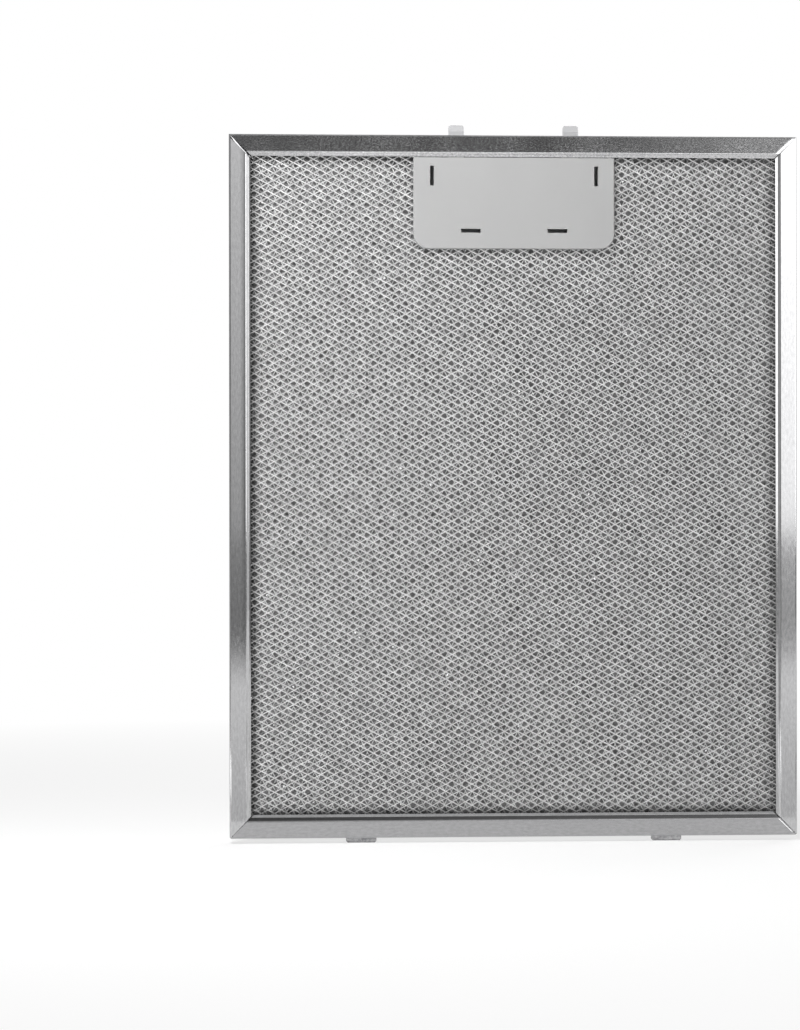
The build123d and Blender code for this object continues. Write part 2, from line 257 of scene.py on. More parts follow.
@dataclass(frozen=True)
class SlitAluminium:
    """Expanded aluminium foil: its drawn skin scatters light, so strands stay bright all round."""

    name: str
    dark: str
    light: str
    metal: float
    rim: float  # share of the colour kept at the rim: painted shade beside the frame's lips
    rim_mm: float = 4.0
    half_width_mm: float = 119.3
    low_mm: float = 10.7
    high_mm: float = 309.3
    cloud_mm: float = 3.0
    smooth: float = 0.28
    dull: float = 0.48

    def painted_rim_shade(self, tree: bpy.types.NodeTree) -> bpy.types.NodeSocket:
        """Painted shade that falls off from the lips of the frame inwards.

        Args:
            tree: Material tree.

        Returns:
            Share of the colour that is kept, 1 away from the rim.
        """
        place = add_node(tree, "ShaderNodeTexCoord").outputs["Object"]
        parts = add_node(tree, "ShaderNodeSeparateXYZ", {0: place}).outputs
        weak_painted_shade = (1 + self.rim) / 2  # the painted shade is half as strong at the right and upper rims
        width, rim = self.half_width_mm, self.rim_mm
        edges = (
            (parts["X"], rim - width, -width, self.rim),
            (parts["X"], width - rim, width, weak_painted_shade),
            (parts["Z"], self.low_mm + rim, self.low_mm, self.rim),
            (parts["Z"], self.high_mm - rim, self.high_mm, weak_painted_shade),
        )
        shade: Any = 1.0
        for way, inside, edge, kept in edges:
            side = add_node(
                tree,
                "ShaderNodeMapRange",
                {
                    "Value": way,
                    "From Min": inside * MM,
                    "From Max": edge * MM,
                    "To Min": 1.0,
                    "To Max": kept,
                },
            ).outputs["Result"]
            shade = add_node(
                tree, "ShaderNodeMath", {0: shade, 1: side}, operation="MINIMUM"
            ).outputs[0]
        return shade

    def material(self) -> bpy.types.Material:
        """Build the node material.

        Returns:
            The material.
        """
        material, tree, output = new_material(self.name)
        cloud = grain_noise(tree, (self.cloud_mm,) * 3, detail=3.0)
        colour = two_tones(tree, cloud, self.dark, self.light)
        # the colour is darkened near the lips: painted shade
        colour_with_painted_shade = add_node(
            tree,
            "ShaderNodeVectorMath",
            {0: colour, "Scale": self.painted_rim_shade(tree)},
            operation="SCALE",
        ).outputs[0]
        rough = add_node(
            tree,
            "ShaderNodeMapRange",
            {
                "Value": cloud,
                "From Min": NOISE_LOW,
                "From Max": NOISE_HIGH,
                "To Min": self.dull,
                "To Max": self.smooth,
            },
        ).outputs["Result"]
        shader = add_node(
            tree,
            "ShaderNodeBsdfPrincipled",
            {"Base Color": colour_with_painted_shade, "Metallic": self.metal, "Roughness": rough},
        )
        tree.links.new(shader.outputs["BSDF"], output.inputs["Surface"])
        return material


@dataclass(frozen=True)
class MouldedPlastic:
    """Injection-moulded ABS: even colour, soft sheen, fine pitting of a spark-eroded mould."""

    name: str
    colour: str
    shade: str
    roughness: float = 0.42
    roughness_range: float = 0.08
    flow_mm: float = 30.0  # slow change of colour along the melt's flow
    pit_mm: float = 0.5  # real pits are 0.1 mm across; drawn coarser so that they show
    pit_depth_mm: float = 0.01
    refraction: float = 1.53

    def material(self) -> bpy.types.Material:
        """Build the node material.

        Returns:
            The material.
        """
        material, tree, output = new_material(self.name)
        pits = grain_noise(tree, (self.pit_mm,) * 3, detail=2.0)
        flow = grain_noise(tree, (self.flow_mm,) * 3, detail=1.0)
        colour = two_tones(tree, flow, self.shade, self.colour)
        rough = add_node(
            tree,
            "ShaderNodeMapRange",
            {
                "Value": pits,
                "From Min": NOISE_LOW,
                "From Max": NOISE_HIGH,
                "To Min": self.roughness,
                "To Max": self.roughness + self.roughness_range,
            },
        ).outputs["Result"]
        bump = add_node(
            tree,
            "ShaderNodeBump",
            {"Height": pits, "Strength": 1.0, "Distance": self.pit_depth_mm * MM},
        ).outputs["Normal"]
        shader = add_node(
            tree,
            "ShaderNodeBsdfPrincipled",
            {"Base Color": colour, "Roughness": rough, "Normal": bump, "IOR": self.refraction},
        )
        tree.links.new(shader.outputs["BSDF"], output.inputs["Surface"])
        return material


@dataclass(frozen=True)
class DrawnSteel:
    """Hard-drawn spring wire: darker than aluminium, with fine die lines."""

    name: str
    colour: str = "#8E9094"
    line_mm: float = 0.4
    smooth: float = 0.22
    dull: float = 0.4

    def material(self) -> bpy.types.Material:
        """Build the node material.

        Returns:
            The material.
        """
        material, tree, output = new_material(self.name)
        lines = grain_noise(tree, (self.line_mm,) * 3, detail=2.0)
        rough = add_node(
            tree,
            "ShaderNodeMapRange",
            {
                "Value": lines,
                "From Min": NOISE_LOW,
                "From Max": NOISE_HIGH,
                "To Min": self.smooth,
                "To Max": self.dull,
            },
        ).outputs["Result"]
        shader = add_node(
            tree,
            "ShaderNodeBsdfPrincipled",
            {"Base Color": linear(self.colour), "Metallic": 1.0, "Roughness": rough},
        )
        tree.links.new(shader.outputs["BSDF"], output.inputs["Surface"])
        return material


def dress(node: str, material: bpy.types.Material) -> None:
    """Give a CAD node one material in all its slots.

    Args:
        node: Name of the CAD node.
        material: Material to use.
    """
    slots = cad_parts[node].data.materials
    for index in range(len(slots)):
        slots[index] = material
    LOG.info("%s: dressed in %s", node, material.name)


def finish_piece(piece: bpy.types.Object, slot: str, *nodes: str) -> None:
    """Tie a piece to its body, and hide and log the CAD nodes it stands for.

    Args:
        piece: Object with its place in its mesh.
        slot: Material slot of the record; not used.
        *nodes: CAD nodes that it replaces.
    """
    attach(piece, CASSETTE)
    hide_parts(*nodes)
    faces = len(piece.data.polygons)
    LOG.info("%s: %d faces, stands for %s", piece.name, faces, ", ".join(nodes))


def new_object(name: str, mesh: bpy.types.Mesh) -> bpy.types.Object:
    """Link a mesh to the scene as an object at the origin.

    Args:
        name: Name of the object.
        mesh: Its mesh.

    Returns:
        The new object.
    """
    made = bpy.data.objects.new(name, mesh)
    bpy.context.scene.collection.objects.link(made)
    return made


@dataclass(frozen=True)
class Opening:
    """Rectangular hole or dent in a rail's web, in mm along the rail and through the frame."""

    start: float
    stop: float
    half_width: float
    depth: float


@dataclass(frozen=True)
class RailSection:
    """Section of the roll-formed channel, in mm: u from the web inwards, v through the frame."""

    face: float
    step_run: float
    step_depth: float
    lip: float
    sheet: float = 0.5
    bend_radius: float = 0.8
    half_depth: float = 4.5
    web_breaks: tuple[float, ...] = (1.2, 1.65, 1.75)  # rows of points for the openings' edges
    face_breaks: tuple[float, ...] = (0.85, 1.0, 1.15, 1.3, 1.45, 1.6, 1.75, 3.0, 5.0, 6.2)

    @property
    def lip_end(self) -> float:
        """Distance from the web's outside to the end of the lip."""
        return self.face + self.step_run + self.lip

    def middle_line(self) -> list[tuple[Vector, Vector]]:
        """Trace the middle of the sheet from one lip round to the other.

        Returns:
            Its points, each with the outward normal.
        """
        half = self.sheet / 2
        bend = math.atan2(self.step_depth, self.step_run)
        ease = half * math.tan(bend / 2)
        lip_v = self.half_depth - self.step_depth - half
        top = [
            Vector((self.lip_end, -lip_v)),
            Vector((self.face + self.step_run - ease, -lip_v)),
            Vector((self.face - ease, -self.half_depth + half)),
            Vector((half, -self.half_depth + half)),
        ]
        corners = top + [Vector((p.x, -p.y)) for p in reversed(top)]
        line = supported(rounded(corners, self.bend_radius - half))
        stops = [(u, v) for v in (corners[3].y, corners[4].y) for u in self.face_breaks]
        stops += [(half, s * v) for v in self.web_breaks for s in (-1, 1)]
        for u, v in stops:
            insert_on(line, Vector((u, v)))
        return with_normals(line)


def rounded(corners: Sequence[Vector], radius: float, step_deg: float = 15.0) -> list[Vector]:
    """Round the inner corners of an open line in the plane.

    Args:
        corners: Corner points.
        radius: Radius of every bend.
        step_deg: Largest turn between two points of a bend.

    Returns:
        Points of the line with its arcs.
    """
    line = [corners[0].copy()]
    for before, corner, after in zip(corners, corners[1:], corners[2:]):
        come, leave = (corner - before).normalized(), (after - corner).normalized()
        turn = come.angle(leave)
        reach = radius * math.tan(turn / 2)
        side = 1 if come.x * leave.y - come.y * leave.x > 0 else -1
        start = corner - come * reach
        centre = start + Vector((-come.y, come.x)) * side * radius
        steps = max(2, math.ceil(math.degrees(turn) / step_deg))
        for k in range(steps + 1):
            arm = start - centre
            arm.rotate(Matrix.Rotation(side * turn * k / steps, 2))
            line.append(centre + arm)
    line.append(corners[-1].copy())
    return line


def supported(line: Sequence[Vector], reach: float = 0.12) -> list[Vector]:
    """Add a point near both ends of each long run, so that smooth shading stays within the bends.

    Args:
        line: Points of a rounded line.
        reach: Distance of the added points from the ends of their run.

    Returns:
        The line with its added points.
    """
    held = [line[0]]
    for start, stop in zip(line, line[1:]):
        run = stop - start
        if run.length > 4 * reach:
            step = run.normalized() * reach
            held += [start + step, stop - step]
        held.append(stop)
    return held


def insert_on(line: list[Vector], point: Vector, off: float = 1e-5) -> None:
    """Insert a point into the straight run of a line that it lies on.

    Args:
        line: Points of the line, which gets the new one.
        point: Point to insert.
        off: How far from the line it may lie, in mm.
    """
    for k in range(len(line) - 1):
        run = line[k + 1] - line[k]
        share = (point - line[k]).dot(run) / run.length_squared
        if 0 < share < 1 and (line[k] + run * share - point).length < off:
            line.insert(k + 1, point)
            return


def with_normals(
    line: Sequence[Vector], least_cosine: float = 0.5
) -> list[tuple[Vector, Vector]]:
    """Pair each point of a line with its normal, to the side away from the channel's hollow.

    Args:
        line: Points of the line.
        least_cosine: Limit to how far a normal is stretched at a corner.

    Returns:
        Each point with its normal, which is stretched so that the sheet keeps its thickness.
    """
    pairs = []
    for k, point in enumerate(line):
        runs = [line[k + 1] - point] if k < len(line) - 1 else []
        runs += [point - line[k - 1]] if k else []
        ways = [run.normalized() for run in runs]
        way = sum(ways, Vector((0, 0))).normalized()
        stretch = 1 / max(least_cosine, way.dot(ways[0]))
        pairs.append((point, Vector((way.y, -way.x)) * stretch))
    return pairs


@dataclass(frozen=True)
class Rail:
    """One straight side of the frame, between two corners; lengths in mm."""

    corner: tuple[float, float]
    along: tuple[float, float]
    inward: tuple[float, float]
    length: float
    ends: tuple[End, End]
    openings: tuple[Opening, ...]
    section: RailSection
    rolls: tuple[tuple[float, float], ...] = ((0.0, 0.0), (0.0, 0.0))  # width, slope by end
    tilt: float = 0.0  # how far the web edge of the faces lies behind their step
    lip_tilt: float = 0.0  # the same for the root of the lip and its end
    dip: float = 0.0  # hollow of the face just before its step

    fold_radius: float = 1.0
    folded_to: float = 0.9  # points of the section nearer the web than this go round a fold
    gap_outer: float = 0.1
    gap_lip: float = 0.5
    relief_radius: float = 0.25
    relief_inset: float = 1.3
    dip_width: float = 1.3
    dip_end: float = 0.3  # flat left between the hollow and the step
    end_zone: float = 13.0
    end_shares: tuple[float, ...] = (1.0, 0.92, 0.86, 0.8, 0.7, 0.55, 0.3, 0.0)
    least_share: float = 0.06  # least step between an opening's edge and another share
    band: float = 2.0  # strip of even width beside the cut at each end
    band_share: float = 0.8  # share of the end zone at which that strip starts
    roll_root: float = 0.4  # part of a roll's width that it has at the web of a mitre
    roll_growth: float = 0.2  # how much that part grows in each mm inwards
    run: float = 8.0  # spacing between the end zones
    least_run: float = 0.6

    def stations(self) -> list[tuple[int, float]]:
        """Places along the rail at which its section is drawn.

        Returns:
            (-1, share) in the first end zone, (0, mm) between and (1, share) in the last.
        """
        breaks = {o.start for o in self.openings} | {o.stop for o in self.openings}
        zones = []
        for side, end in zip((-1, 1), self.ends):
            ways = [place if side < 0 else self.length - place for place in breaks]
            reach = (self.end_zone - self.slit(0.0, end) - self.band) / self.band_share
            extra = {(self.end_zone - way) / reach for way in ways if way < self.end_zone - CLOSE}
            kept = {
                share
                for share in self.end_shares
                if all(abs(share - other) > self.least_share for other in extra)
            }
            zones.append([(side, share) for share in sorted(kept | extra, reverse=side < 0)])
        low, high = self.end_zone, self.length - self.end_zone
        inner = {place for place in breaks if low + CLOSE < place < high - CLOSE}
        count = round((high - low) / self.run)
        for k in range(1, count):
            place = low + k * (high - low) / count
            if all(abs(place - other) > self.least_run for other in inner):
                inner.add(place)
        return zones[0] + [(0, place) for place in sorted(inner)] + zones[1]

    def from_corner(self, share: float, stop: float) -> float:
        """Find the place of a share of the end zone.

        Args:
            share: 0 at the start of the end zone, 1 at the cut.
            stop: Place of the cut, from the corner along the rail.

        Returns:
            The place, from the corner along the rail.
        """
        if share > self.band_share:
            return stop + (1 - share) / (1 - self.band_share) * self.band
        return self.end_zone + share / self.band_share * (stop + self.band - self.end_zone)

    def slit(self, u: float, end: End) -> float:
        """Find where a point of the section stops at a corner.

        Args:
            u: Distance from the web's outside.
            end: How the rail ends there.

        Returns:
            The place, from the corner along the rail.
        """
        width = self.gap_outer + (self.gap_lip - self.gap_outer) * (u / self.section.lip_end) ** 2
        if end is End.MITRE:
            return u + width / math.sqrt(2)
        from_relief = u - self.relief_inset
        if from_relief < -self.relief_radius - TINY:
            return u
        width *= min(1.0, max(0.0, from_relief + self.relief_radius))
        hole = 0.0
        if abs(from_relief) < self.relief_radius:
            hole = self.relief_inset + math.sqrt(self.relief_radius**2 - from_relief**2)
        return max(u + width / math.sqrt(2), hole)

    def place(self, station: tuple[int, float], u: float, v: float) -> Vector:
        """Put a point of the section at a station.

        Args:
            station: Zone and share or distance, as stations() gives them.
            u: Distance from the web's outside.
            v: Distance through the frame.

        Returns:
            The point in the row frame, in metres.
        """
        zone, value = station
        depth_u, s = u, value
        if zone:
            end = self.ends[0 if zone < 0 else 1]
            radius = self.fold_radius
            if end is End.MITRE or u >= self.folded_to:
                s = self.from_corner(value, self.slit(u, end))
            elif value <= self.band_share:
                s = self.end_zone + value / self.band_share * (radius - self.end_zone)
            else:
                part = (value - self.band_share) / (1 - self.band_share)
                turn = math.radians(45) * part
                s = radius - (radius - u) * math.sin(turn)
                depth_u = radius - (radius - u) * math.cos(turn)
            if zone > 0:
                s = self.length - s
        v *= 1 - self.sink(u, station) / self.section.half_depth
        x = self.corner[0] + self.along[0] * s + self.inward[0] * depth_u
        z = self.corner[1] + self.along[1] * s + self.inward[1] * depth_u
        return Vector((x, v, z)) * MM

    def sink(self, u: float, station: tuple[int, float]) -> float:
        """Find how far the sheet lies behind its flat place, through tilt and rolled edges.

        Args:
            u: Distance from the web's outside.
            station: Zone and share or distance, as stations() gives them.

        Returns:
            The depth in mm.
        """
        face, lip_end = self.section.face, self.section.lip_end
        lip_root = face + self.section.step_run
        crest, flat = face - self.dip_width, face - self.dip_end
        if u < face:
            hollow = u / crest if u < crest else (flat - u) / (flat - crest)
            depth = self.tilt * (1 - u / face) + self.dip * max(0.0, hollow)
        elif u < lip_root:
            depth = self.lip_tilt * (u - face) / (lip_root - face)
        else:
            depth = self.lip_tilt * (lip_end - u) / (lip_end - lip_root)
        zone, share = station
        if zone and share >= self.band_share:
            which = 0 if zone < 0 else 1
            width, slope = self.rolls[which]
            past = (1 - share) / (1 - self.band_share) * self.band
            part = float(u < face)
            if self.ends[which] is End.MITRE:
                part = min(1.0, self.roll_root + self.roll_growth * u)
            depth += slope * max(0.0, width * part - past)
        return depth

    def build(self, bm: bmesh.types.BMesh) -> None:
        """Add the rail's closed shell to a mesh.

        Args:
            bm: Mesh to add to.
        """
        section = self.section
        line = section.middle_line()
        half = section.sheet / 2
        count = len(line)
        outer = [point + normal * half for point, normal in line]
        inner = [point - normal * half for point, normal in line]
        stations = self.stations()
        skins = [
            [[bm.verts.new(self.place(station, p.x, p.y)) for p in skin] for station in stations]
            for skin in (outer, inner)
        ]
        pockets = {
            (j, i): opening
            for opening in self.openings
            for j in range(len(stations) - 1)
            for i in range(count - 1)
            if self.opens(opening, stations[j], stations[j + 1], outer[i], outer[i + 1])
        }
        for j in range(len(stations) - 1):
            for i in range(count - 1):
                for skin, rows in enumerate(skins):
                    opening = pockets.get((j, i))
                    if opening and (skin == 0 or opening.depth >= section.sheet):
                        continue
                    bm.faces.new((rows[j][i], rows[j][i + 1], rows[j + 1][i + 1], rows[j + 1][i]))
            for i in (0, count - 1):
                edge = (skins[1][j + 1][i], skins[1][j][i])
                bm.faces.new((skins[0][j][i], skins[0][j + 1][i], *edge))
        self.close_pockets(bm, skins, pockets)
        for which, j in enumerate((0, len(stations) - 1)):
            for i in range(count - 1):
                reach = max(outer[i].x, outer[i + 1].x)
                if self.ends[which] is End.MITRE or reach >= self.folded_to:
                    a, b = skins[0][j], skins[1][j]
                    bm.faces.new((a[i], a[i + 1], b[i + 1], b[i]))

    def opens(
        self,
        opening: Opening,
        start: tuple[int, float],
        stop: tuple[int, float],
        low: Vector,
        high: Vector,
    ) -> bool:
        """Tell whether one cell of the outer skin lies in an opening.

        Args:
            opening: The opening.
            start: Station at one side of the cell.
            stop: Station at its other side.
            low: Point of the section at the cell's lower edge.
            high: Point at its upper edge.

        Returns:
            True if the whole cell is open.
        """
        if max(low.x, high.x) > CLOSE:
            return False
        first, last = (self.web_place(station) for station in (start, stop))
        inside = opening.start - CLOSE < first and last < opening.stop + CLOSE
        return inside and max(abs(low.y), abs(high.y)) < opening.half_width + CLOSE

    def web_place(self, station: tuple[int, float]) -> float:
        """Find where a station crosses the outside of the web.

        Args:
            station: Zone and share or distance, as stations() gives them.

        Returns:
            The place along the rail.
        """
        zone, value = station
        if not zone:
            return value
        end = self.ends[0 if zone < 0 else 1]
        way = self.from_corner(value, self.slit(0.0, end))
        return way if zone < 0 else self.length - way

    def close_pockets(
        self,
        bm: bmesh.types.BMesh,
        skins: list[list[list[bmesh.types.BMVert]]],
        pockets: dict[tuple[int, int], Opening],
    ) -> None:
        """Add the walls of the openings, and the floors of the dents.

        Args:
            bm: Mesh to add to.
            skins: Outer and inner grids of vertices.
            pockets: Open cells and the opening that each belongs to.
        """
        sheet = self.section.sheet
        floors: dict[tuple[int, int], bmesh.types.BMVert] = {}

        def under(j: int, i: int, opening: Opening) -> bmesh.types.BMVert:
            """Find or make the vertex at the foot of an opening's wall.

            Args:
                j: Station along the rail.
                i: Point round the section.
                opening: The opening.

            Returns:
                The vertex.
            """
            if opening.depth >= sheet:
                return skins[1][j][i]
            if (j, i) not in floors:
                share = opening.depth / sheet
                floors[j, i] = bm.verts.new(skins[0][j][i].co.lerp(skins[1][j][i].co, share))
            return floors[j, i]

        for (j, i), opening in pockets.items():
            ring = [(j, i), (j, i + 1), (j + 1, i + 1), (j + 1, i)]
            if opening.depth < sheet:
                bm.faces.new([under(*key, opening) for key in ring])
            near = {(j, i - 1): 3, (j, i + 1): 1, (j - 1, i): 0, (j + 1, i): 2}
            for cell, side in near.items():
                if cell not in pockets:
                    a, b = ring[side], ring[(side + 1) % 4]
                    top = (skins[0][a[0]][a[1]], skins[0][b[0]][b[1]])
                    bm.faces.new((*top, under(*b, opening), under(*a, opening)))


@dataclass(frozen=True)
class FilterFrame:
    """The folded strip on three sides and the rail that closes it at the top."""

    width: float = 260.0
    height: float = 320.0
    top: RailSection = RailSection(face=8.2, step_run=0.8, step_depth=0.92, lip=0.9)
    lower: RailSection = RailSection(face=7.8, step_run=1.7, step_depth=1.43, lip=1.2)
    left: RailSection = RailSection(face=7.8, step_run=1.2, step_depth=1.1, lip=0.8)
    right: RailSection = RailSection(face=7.6, step_run=0.9, step_depth=0.9, lip=1.2)
    lug_spacing: float = 140.0
    lug_slot: float = 14.3
    lug_slot_half: float = 1.65
    finger_spacing: float = 52.4
    finger_slot: float = 7.3
    finger_slot_half: float = 1.75
    clinch_inset: float = 11.0
    clinch_length: float = 4.0
    clinch_half: float = 1.2
    clinch_depth: float = 0.35
    mitre_roll: tuple[float, float] = (0.8, 0.573)  # width and slope of a rolled edge
    fold_roll: tuple[float, float] = (0.6, 0.573)
    upper_roll: tuple[float, float] = (1.6, 0.065)
    merge: float = 0.004
    sharp_deg: float = 35.0

    def clinch(self, place: float) -> Opening:
        """Dent of a lanced stitch, centred at a place along the rail."""
        half = self.clinch_length / 2
        return Opening(place - half, place + half, self.clinch_half, self.clinch_depth)

    def slots(self, spacing: float, length: float, half_width: float) -> tuple[Opening, ...]:
        """Cut two slots through a web, about the middle of the frame.

        Args:
            spacing: Distance between the two middles.
            length: Length of each slot along the rail.
            half_width: Half of its width.

        Returns:
            The two openings.
        """
        middles = [self.width / 2 + side * spacing / 2 for side in (-1, 1)]
        half, sheet = length / 2, self.top.sheet
        return tuple(Opening(m - half, m + half, half_width, sheet) for m in middles)

    def rails(self) -> dict[str, Rail]:
        """Lay out the four sides.

        Returns:
            Each rail by its side's name.
        """
        half = self.width / 2
        clinch = self.clinch(self.height - self.clinch_inset)
        lower = self.slots(self.lug_spacing, self.lug_slot, self.lug_slot_half)
        upper = self.slots(self.finger_spacing, self.finger_slot, self.finger_slot_half)
        plain = (0.0, 0.0)
        return {
            "left": Rail(
                corner=(-half, 0),
                along=(0, 1),
                inward=(1, 0),
                length=self.height,
                ends=(End.FOLD, End.MITRE),
                openings=(clinch,),
                section=self.left,
                rolls=(plain, self.mitre_roll),
                lip_tilt=0.05,
                dip=0.06,
            ),
            "right": Rail(
                corner=(half, 0),
                along=(0, 1),
                inward=(-1, 0),
                length=self.height,
                ends=(End.FOLD, End.MITRE),
                openings=(clinch,),
                section=self.right,
                lip_tilt=0.07,
            ),
            "lower": Rail(
                corner=(-half, 0),
                along=(1, 0),
                inward=(0, 1),
                length=self.width,
                ends=(End.FOLD, End.FOLD),
                openings=lower,
                section=self.lower,
                rolls=(plain, self.fold_roll),
            ),
            "top": Rail(
                corner=(-half, self.height),
                along=(1, 0),
                inward=(0, -1),
                length=self.width,
                ends=(End.MITRE, End.MITRE),
                openings=upper,
                section=self.top,
                rolls=(plain, self.upper_roll),
                tilt=0.6,
                lip_tilt=-0.19,
            ),
        }

    def shell(
        self, name: str, sides: Iterable[tuple[Rail, bpy.types.Material]]
    ) -> bpy.types.Object:
        """Join rails into one closed shell.

        Args:
            name: Name of the piece.
            sides: Rails, each with its material.

        Returns:
            The new object.
        """
        bm = bmesh.new()
        mesh = bpy.data.meshes.new(name)
        for index, (rail, material) in enumerate(sides):
            seen = len(bm.faces)
            rail.build(bm)
            bm.faces.ensure_lookup_table()
            for face in bm.faces[seen:]:
                face.material_index = index
            mesh.materials.append(material)
        bmesh.ops.remove_doubles(bm, verts=bm.verts, dist=self.merge * MM)
        bmesh.ops.recalc_face_normals(bm, faces=bm.faces)
        bm.to_mesh(mesh)
        bm.free()
        mesh.shade_smooth()
        mesh.set_sharp_from_angle(angle=math.radians(self.sharp_deg))
        return new_object(name, mesh)

    def build(self) -> None:
        """Make both pieces of the frame."""
        # the lower rail's colours are darker than the side rails' of the same strip: painted shade
        level = RolledAluminium(
            "rolled_aluminium_level_painted_shade", Way.ACROSS, "#9F9FA0", "#ADADAE"
        ).material()
        upright = RolledAluminium("rolled_aluminium_upright", Way.UPRIGHT).material()
        upper = RolledAluminium(
            "rolled_aluminium_upper",
            Way.ACROSS,
            dark="#A8A8A9",
            light="#DCDCDD",
            mottle_mm=0.45,
            draw=2.0,
            smooth=0.09,
            dull=0.18,
            grain_depth_mm=0.006,
        ).material()
        rails = self.rails()
        sides = [(rails["left"], upright), (rails["lower"], level), (rails["right"], upright)]
        finish_piece(self.shell("folded_strip", sides), "frame_aluminium", "frame_strip")
        top = self.shell("upper_rail", [(rails["top"], upper)])
        finish_piece(top, "frame_aluminium", "top_rail")
        for side in ("left", "right"):
            dress(f"corner_key_{side}", upright)


class ExpandedMesh:
    """Geometry Nodes tree of zigzag strands side by side, as slit and stretched foil has them."""

    INPUTS = {
        "NodeSocketInt": ("Points", "Rows", "Seed"),
        "NodeSocketFloat": (
            "Swing",
            "Wander",
            "Turn",
            "Strand Width",
            "Strand Thickness",
            "Lean",
            "Lean Wander",
        ),
        "NodeSocketVector": (
            "First Point",
            "Point Step",
            "First Row",
            "Row Step",
            "Place",
            "Pack Middle",
            "Pack Half Size",
            "Notch Middle",
            "Notch Half Size",
        ),
        "NodeSocketMaterial": ("Finish",),
    }

    def __init__(self) -> None:
        """Build the tree once; every layer uses it."""
        self.tree = bpy.data.node_groups.new("expanded_mesh", "GeometryNodeTree")
        face = self.tree.interface
        self.sockets = {
            name: face.new_socket(name, in_out="INPUT", socket_type=kind)
            for kind, names in self.INPUTS.items()
            for name in names
        }
        face.new_socket("Geometry", in_out="OUTPUT", socket_type="NodeSocketGeometry")
        self.given = add_node(self.tree, "NodeGroupInput").outputs
        self.lay_strands()

    def grid(self) -> bpy.types.NodeSocket:
        """Lay even rows of points, joined along each row.

        Returns:
            The points and edges of every row.
        """
        given = self.given
        row, column = (
            add_node(
                self.tree,
                "GeometryNodeMeshLine",
                {"Count": given[count], "Start Location": given[start], "Offset": given[step]},
            ).outputs["Mesh"]
            for count, start, step in (
                ("Points", "First Point", "Point Step"),
                ("Rows", "First Row", "Row Step"),
            )
        )
        rows = add_node(
            self.tree, "GeometryNodeInstanceOnPoints", {"Points": column, "Instance": row}
        )
        return add_node(
            self.tree, "GeometryNodeRealizeInstances", {"Geometry": rows.outputs["Instances"]}
        ).outputs["Geometry"]

    def zigzag(self) -> bpy.types.NodeSocket:
        """Swing the points of every row up and down in turn.

        Returns:
            The points and edges of every row.
        """
        given = self.given
        index = add_node(self.tree, "GeometryNodeInputIndex").outputs["Index"]
        which = add_node(
            self.tree,
            "FunctionNodeIntegerMath",
            {0: index, 1: given["Points"]},
            operation="DIVIDE_FLOOR",
        ).outputs[0]
        # A row's points are even in number, so this lets each next row start the other way.
        shifted = add_node(
            self.tree, "FunctionNodeIntegerMath", {0: index, 1: which}, operation="ADD"
        ).outputs[0]
        odd = add_node(
            self.tree, "FunctionNodeIntegerMath", {0: shifted, 1: 2}, operation="MODULO"
        ).outputs[0]
        sign = add_node(
            self.tree,
            "ShaderNodeVectorMath",
            {0: odd, 1: (0.0, 0.0, 2.0), 2: (0.0, 0.0, -1.0)},
            operation="MULTIPLY_ADD",
        ).outputs[0]
        wander = add_node(
            self.tree,
            "FunctionNodeRandomValue",
            {"Min": (-1.0, -0.5, -1.0), "Max": (1.0, 0.5, 1.0), "Seed": given["Seed"]},
            data_type="FLOAT_VECTOR",
        ).outputs["Value"]
        stray = add_node(
            self.tree,
            "ShaderNodeVectorMath",
            {0: wander, "Scale": given["Wander"]},
            operation="SCALE",
        ).outputs[0]
        offset = add_node(
            self.tree,
            "ShaderNodeVectorMath",
            {0: sign, 1: given["Swing"], 2: stray},
            operation="MULTIPLY_ADD",
        ).outputs[0]
        return add_node(
            self.tree, "GeometryNodeSetPosition", {"Geometry": self.grid(), "Offset": offset}
        ).outputs["Geometry"]

    def outside(self) -> bpy.types.NodeSocket:
        """Find the points that fall outside the pack or in its notch once the layer is turned.

        Returns:
            True for each such point.
        """
        place = add_node(self.tree, "GeometryNodeInputPosition").outputs[0]
        turned = add_node(
            self.tree,
            "ShaderNodeVectorRotate",
            {"Vector": place, "Angle": self.given["Turn"]},
            rotation_type="Y_AXIS",
        ).outputs[0]
        within = []
        for box in ("Pack", "Notch"):
            arm = add_node(
                self.tree,
                "ShaderNodeVectorMath",
                {0: turned, 1: self.given[f"{box} Middle"]},
                operation="SUBTRACT",
            ).outputs[0]
            reach = add_node(
                self.tree, "ShaderNodeVectorMath", {0: arm}, operation="ABSOLUTE"
            ).outputs[0]
            compared = add_node(
                self.tree,
                "FunctionNodeCompare",
                {4: reach, 5: self.given[f"{box} Half Size"]},
                data_type="VECTOR",
                mode="ELEMENT",
                operation="LESS_THAN",
            )
            within.append(compared.outputs[0])
        return add_node(
            self.tree,
            "FunctionNodeBooleanMath",
            {0: within[0], 1: within[1]},
            operation="IMPLY",
        ).outputs[0]

